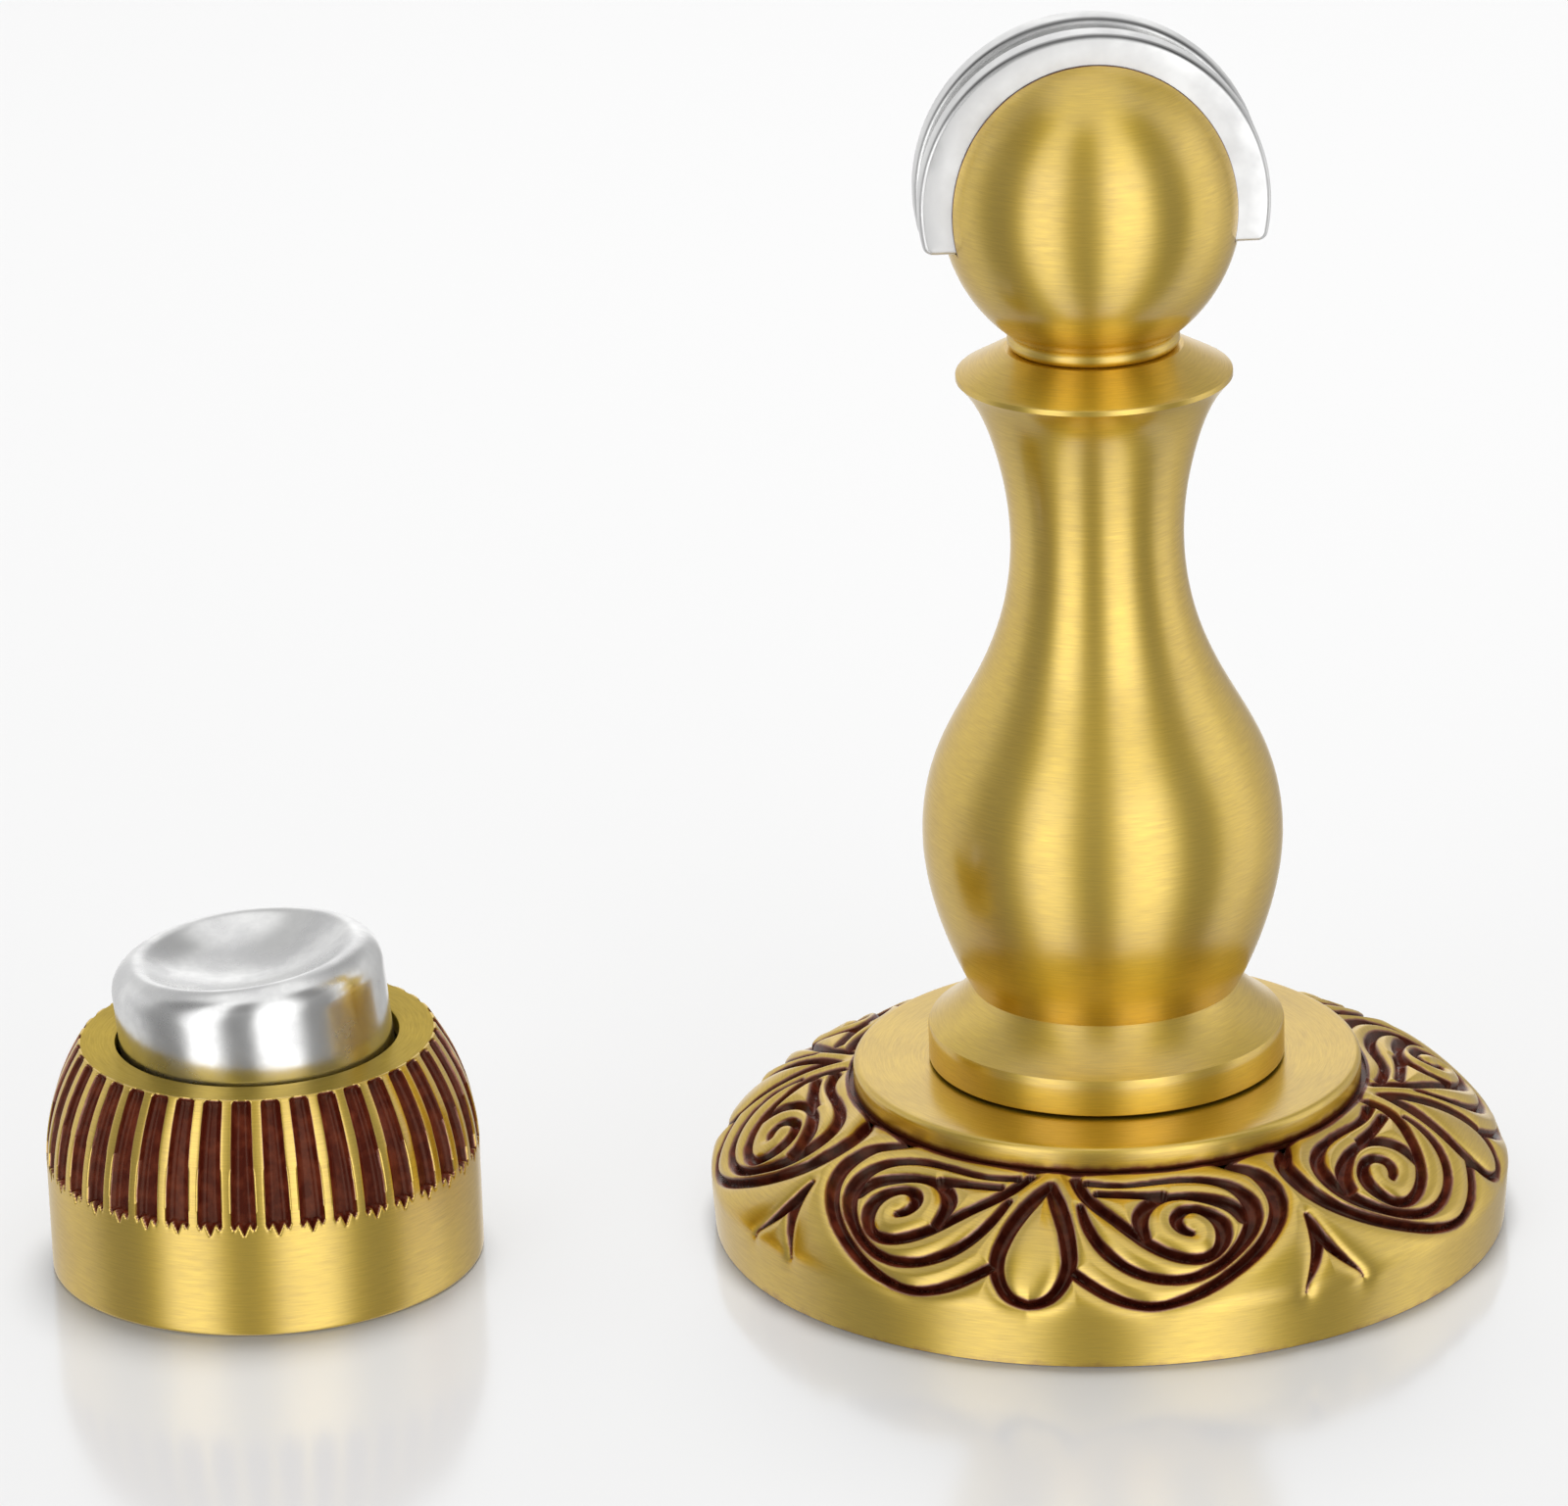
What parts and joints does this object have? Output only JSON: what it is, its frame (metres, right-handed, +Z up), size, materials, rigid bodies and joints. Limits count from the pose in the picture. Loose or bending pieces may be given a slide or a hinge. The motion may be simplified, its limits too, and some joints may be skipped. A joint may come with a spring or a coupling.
{
  "type": "magnetic door stop",
  "caption": "Turned brass floor post on a carved round base, with a magnet held in a slotted ball head, and a fluted door catch with a sprung, dished steel keeper.",
  "frame": {"origin": "on the post's axis at floor level, at the mouth of the threaded hole for the floor bolt", "axes": "+Z up along the post's axis, -Y to the front of the post, the door catch stands to the -X side"},
  "size_m": [0.0994, 0.0546, 0.0838],
  "materials": {
    "patina_brass": "satin brass with dark patina in the carving",
    "satin_brass": "satin, brushed round the turning axis",
    "pole_steel": "satin nickel",
    "magnet_coat": "nickel coat",
    "keeper_steel": "bright satin nickel",
    "spring_steel": "plain spring steel",
    "nut_steel": "zinc plated"
  },
  "bodies": {
    "frame": {"base_rosette": "patina_brass", "rosette_nut": "nut_steel", "stem": "satin_brass", "disc_spring": "spring_steel", "head_screw": "nut_steel", "catch_cup": "patina_brass", "mounting_plate": "nut_steel", "keeper_spring": "spring_steel"},
    "head": {"ball_head": "satin_brass", "front_pole_plate": "pole_steel", "magnet": "magnet_coat", "back_pole_plate": "pole_steel"},
    "plunger": {"spring_cap": "spring_steel"},
    "keeper": {"keeper_button": "keeper_steel"}
  },
  "joints": [
    {"name": "head_turn", "type": "hinge", "parent": "frame", "child": "head", "pos_m": [0, 0, 0.0618], "axis": [0, 0, 1], "continuous": true},
    {"name": "button_press", "type": "slide", "parent": "frame", "child": "plunger", "axis": [0, 0, -1], "range_m": [0, 0.002], "stiffness_N_per_m": 800, "springref_m": -0.003, "deforming": ["keeper_spring"]},
    {"name": "button_tilt", "type": "hinge", "parent": "plunger", "child": "keeper", "pos_m": [-0.0574, -0.0051, 0.01525], "axis": [0, 1, 0], "range_deg": [0, 10]}
  ]
}
